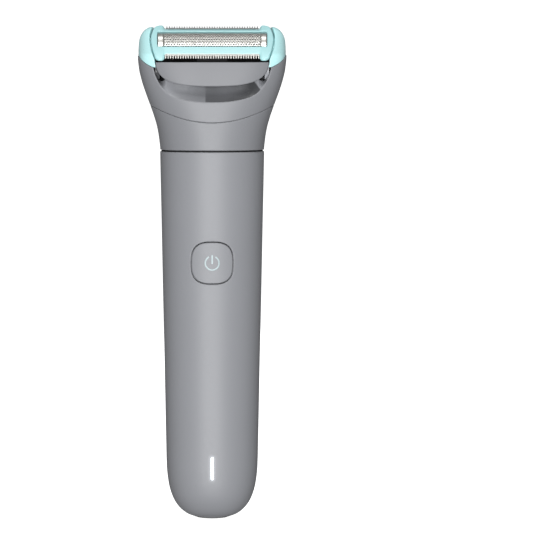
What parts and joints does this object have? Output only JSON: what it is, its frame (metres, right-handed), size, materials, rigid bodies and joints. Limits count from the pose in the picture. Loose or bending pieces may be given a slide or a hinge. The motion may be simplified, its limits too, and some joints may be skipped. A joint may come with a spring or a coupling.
{
  "type": "body groomer",
  "caption": "Hand-held body groomer: slim grey handle with a power button, pull-off head with a tilting foil cartridge between two toothed trimmers.",
  "frame": {"origin": "middle of the charging inlet's mouth, at the lowest point of the handle's round end", "axes": "+Z along the handle towards the head, the front with the button faces -Y, +X to the right seen from the front"},
  "size_m": [0.0513, 0.033, 0.1693],
  "materials": {
    "grey_satin": "satin moulded grey",
    "mint": "satin mint",
    "black_plastic": "fine matte",
    "rubber_black": "matte",
    "white_plastic": "natural nylon",
    "light_white": "clear diffusing",
    "symbol_mint": "pale inlay",
    "steel": "ground",
    "foil_steel": "electroformed",
    "nickel": "plated",
    "board_green": "solder mask",
    "cell_wrap": "shrink sleeve",
    "wire_red": "insulation",
    "brass": "turned"
  },
  "bodies": {
    "handle": {"front_shell": "grey_satin", "rear_shell": "grey_satin", "socket_liner": "black_plastic", "charge_pins": "nickel", "socket_seal": "rubber_black", "inner_chassis": "white_plastic", "battery": "cell_wrap", "battery_tabs": "nickel", "circuit_board": "board_green", "board_chips": "black_plastic", "led_chip": "light_white", "light_guide": "light_white", "tact_switch": "black_plastic", "button_gasket": "rubber_black", "chassis_screws": "steel", "board_screws": "steel", "motor_can": "steel", "motor_endcap": "black_plastic", "motor_damper": "rubber_black", "motor_leads": "wire_red", "handle_cap": "black_plastic", "shaft_seal": "rubber_black", "collar_ring": "rubber_black"},
    "button": {"power_button": "grey_satin", "power_symbol": "symbol_mint", "switch_plunger": "white_plastic"},
    "rotor": {"motor_shaft": "steel", "eccentric": "brass"},
    "neck": {"neck_base": "black_plastic", "neck_ring": "grey_satin", "neck_shell": "grey_satin", "left_pod": "mint", "right_pod": "mint", "yoke_frame": "black_plastic", "pivot_pins": "steel", "pivot_springs": "steel", "guide_rods": "steel", "drive_seal": "rubber_black"},
    "drive": {"drive_carriage": "white_plastic", "drive_stem": "steel"},
    "head": {"head_housing": "black_plastic", "bib_panel": "grey_satin"},
    "cartridge": {"foil_frame": "mint", "cartridge_base": "black_plastic", "front_comb": "steel", "rear_comb": "steel", "foil_springs": "steel"},
    "foil_unit": {"foil": "foil_steel", "foil_carrier": "black_plastic"},
    "cutter": {"cutter_block": "steel", "cutter_carrier": "black_plastic"},
    "trimmers": {"front_blade": "steel", "rear_blade": "steel", "blade_bridge": "black_plastic"}
  },
  "joints": [
    {"name": "power_button_press", "type": "slide", "parent": "handle", "child": "button", "axis": [0, 1, 0], "range_m": [0, 0.0006], "stiffness_N_per_m": 3000, "springref_m": -0.0002},
    {"name": "motor_spin", "type": "hinge", "parent": "handle", "child": "rotor", "pos_m": [0, 0, 0.11], "axis": [0, 0, 1], "continuous": true},
    {"name": "head_release", "type": "slide", "parent": "handle", "child": "neck", "axis": [0, 0, 1], "range_m": [0, 0.03]},
    {"name": "drive_stroke", "type": "slide", "parent": "neck", "child": "drive", "axis": [1, 0, 0], "range_m": [-0.0011, 0.0011]},
    {"name": "head_tilt", "type": "hinge", "parent": "neck", "child": "head", "pos_m": [0, -0.00382, 0.15784], "axis": [1, 0, 0], "range_deg": [-8, 8], "stiffness_Nm_per_rad": 0.12},
    {"name": "cartridge_lift", "type": "slide", "parent": "head", "child": "cartridge", "axis": [0, -0.682, 0.7314], "range_m": [0, 0.014]},
    {"name": "foil_float", "type": "slide", "parent": "cartridge", "child": "foil_unit", "axis": [0, 0.682, -0.7314], "range_m": [0, 0.001], "stiffness_N_per_m": 900, "springref_m": -0.0006, "deforming": ["foil_springs"]},
    {"name": "cutter_stroke", "type": "slide", "parent": "foil_unit", "child": "cutter", "axis": [1, 0, 0], "range_m": [-0.0011, 0.0011]},
    {"name": "trimmer_stroke", "type": "slide", "parent": "cartridge", "child": "trimmers", "axis": [1, 0, 0], "range_m": [-0.0011, 0.0011]}
  ],
  "couplings": [
    {"joint": "cutter_stroke", "follows": "drive_stroke", "ratio": 1},
    {"joint": "trimmer_stroke", "follows": "drive_stroke", "ratio": 1}
  ]
}
